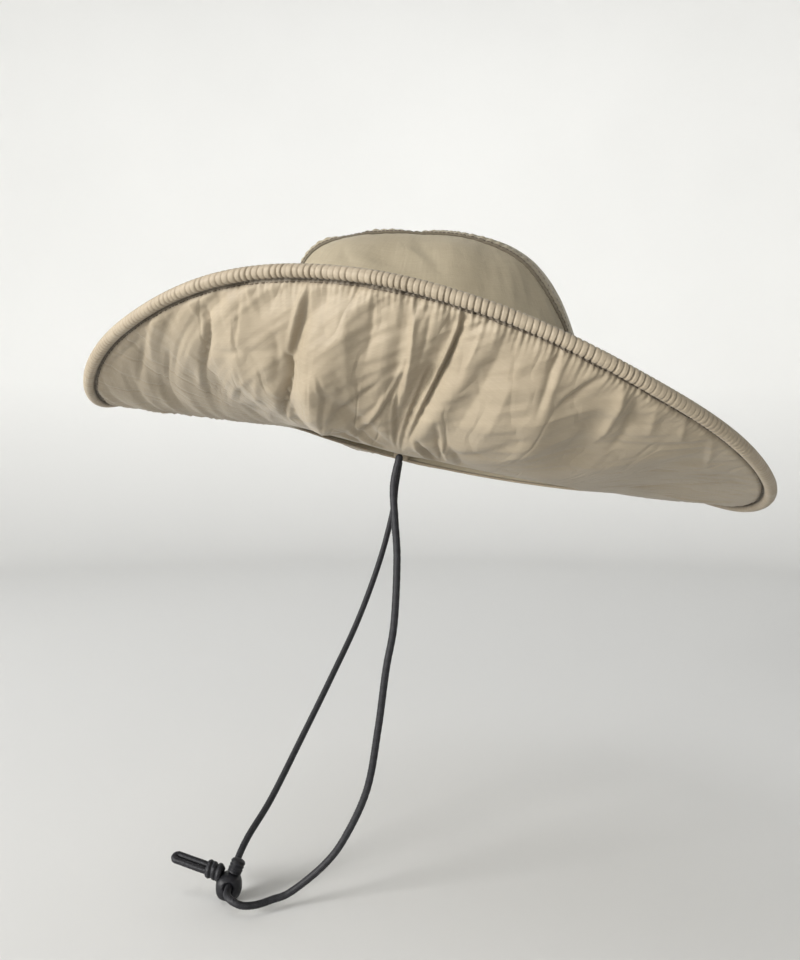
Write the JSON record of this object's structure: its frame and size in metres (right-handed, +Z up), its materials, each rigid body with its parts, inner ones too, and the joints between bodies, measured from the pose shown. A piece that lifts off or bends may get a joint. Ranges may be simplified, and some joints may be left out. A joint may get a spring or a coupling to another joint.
{
  "type": "rain hat",
  "caption": "Wide-brimmed cloth rain hat as worn, with a three-panel crown, a turned-up brim, a gathered rim casing and a chin cord with a cord lock.",
  "frame": {"origin": "centre of the head opening, in the plane where crown and brim meet, where the hat sits on a head", "axes": "+Z straight up as the hat is worn, front of the hat towards -X, the hat's left side towards -Y; the opening is tipped back about Y by 12.5 degrees, front up"},
  "size_m": [0.4493, 0.38, 0.4278],
  "materials": {
    "crown_cloth": "fine plain weave with a light coating, soft sheen",
    "brim_cloth": "fine plain weave with a light coating, creased",
    "casing_cloth": "gathered plain weave",
    "cord_braid": "round braided cord",
    "lock_plastic": "moulded, matte"
  },
  "bodies": {
    "root": {"crown_side_left": "crown_cloth", "crown_centre": "crown_cloth", "crown_side_right": "crown_cloth", "crown_seam_left": "crown_cloth", "crown_seam_right": "crown_cloth", "brim": "brim_cloth", "brim_casing": "casing_cloth", "cord_tab_left": "casing_cloth", "cord_tab_right": "casing_cloth", "chin_cord_left": "cord_braid", "chin_cord_right": "cord_braid", "cord_knot": "cord_braid", "cord_end_loop": "cord_braid", "cord_lock_body": "lock_plastic", "cord_lock_button": "lock_plastic"}
  },
  "joints": []
}
